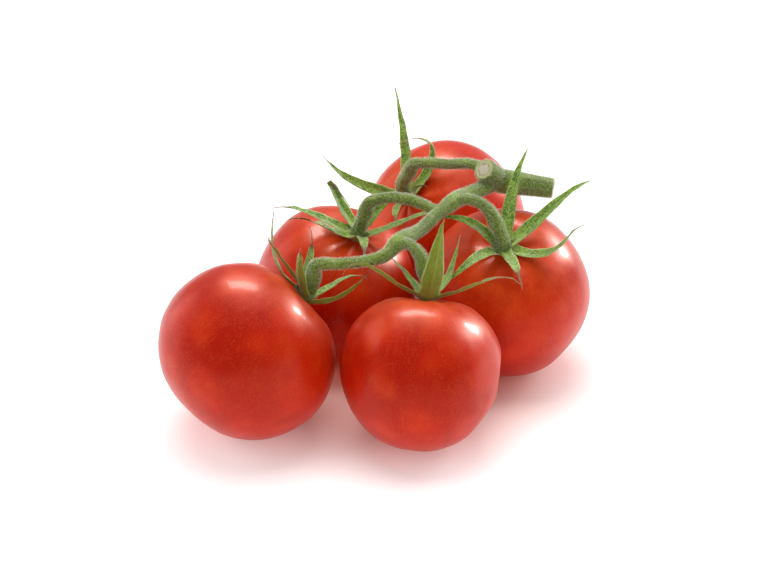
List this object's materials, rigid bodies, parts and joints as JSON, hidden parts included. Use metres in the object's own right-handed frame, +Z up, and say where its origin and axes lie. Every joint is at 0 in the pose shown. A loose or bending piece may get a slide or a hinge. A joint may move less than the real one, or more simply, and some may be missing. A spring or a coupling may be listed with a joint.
{
  "type": "tomato truss",
  "caption": "Ripe round tomatoes still joined to their cut green vine by bent stalks with curling sepals, lying as one bunch on a level surface.",
  "frame": {"origin": "middle of the bunch's bounding box, on the surface it rests on", "axes": "+Z up, -Y towards the viewer's side where two tomatoes lie in front, +X towards the cut end of the vine"},
  "size_m": [0.1786, 0.198, 0.0988],
  "materials": {
    "tomato_skin": "thin smooth glossy skin, deep red with orange-red shoulders and fine pale flecks",
    "vine_green": "matt green stem with fine pale hairs, yellow-green at the knots",
    "sepal_green": "matt leaf green with dark specks, paler edges and dry brown tips"
  },
  "bodies": {
    "root": {"sepal_back_1": "sepal_green", "sepal_back_2": "sepal_green", "sepal_back_3": "sepal_green", "sepal_back_4": "sepal_green", "sepal_back_5": "sepal_green", "sepal_back_left_1": "sepal_green", "sepal_back_left_2": "sepal_green", "sepal_back_left_3": "sepal_green", "sepal_back_left_4": "sepal_green", "sepal_back_left_5": "sepal_green", "sepal_back_left_6": "sepal_green", "sepal_front_left_1": "sepal_green", "sepal_front_left_2": "sepal_green", "sepal_front_left_3": "sepal_green", "sepal_front_left_4": "sepal_green", "sepal_front_left_5": "sepal_green", "sepal_front_left_6": "sepal_green", "sepal_front_middle_1": "sepal_green", "sepal_front_middle_2": "sepal_green", "sepal_front_middle_3": "sepal_green", "sepal_front_middle_4": "sepal_green", "sepal_front_middle_5": "sepal_green", "sepal_right_1": "sepal_green", "sepal_right_2": "sepal_green", "sepal_right_3": "sepal_green", "sepal_right_4": "sepal_green", "sepal_right_5": "sepal_green", "sepal_right_6": "sepal_green", "stalk_back": "vine_green", "stalk_back_left": "vine_green", "stalk_front_left": "vine_green", "stalk_front_middle": "vine_green", "stalk_right": "vine_green", "tomato_back": "tomato_skin", "tomato_back_left": "tomato_skin", "tomato_front_left": "tomato_skin", "tomato_front_middle": "tomato_skin", "tomato_right": "tomato_skin", "vine_stem": "vine_green"}
  },
  "joints": []
}
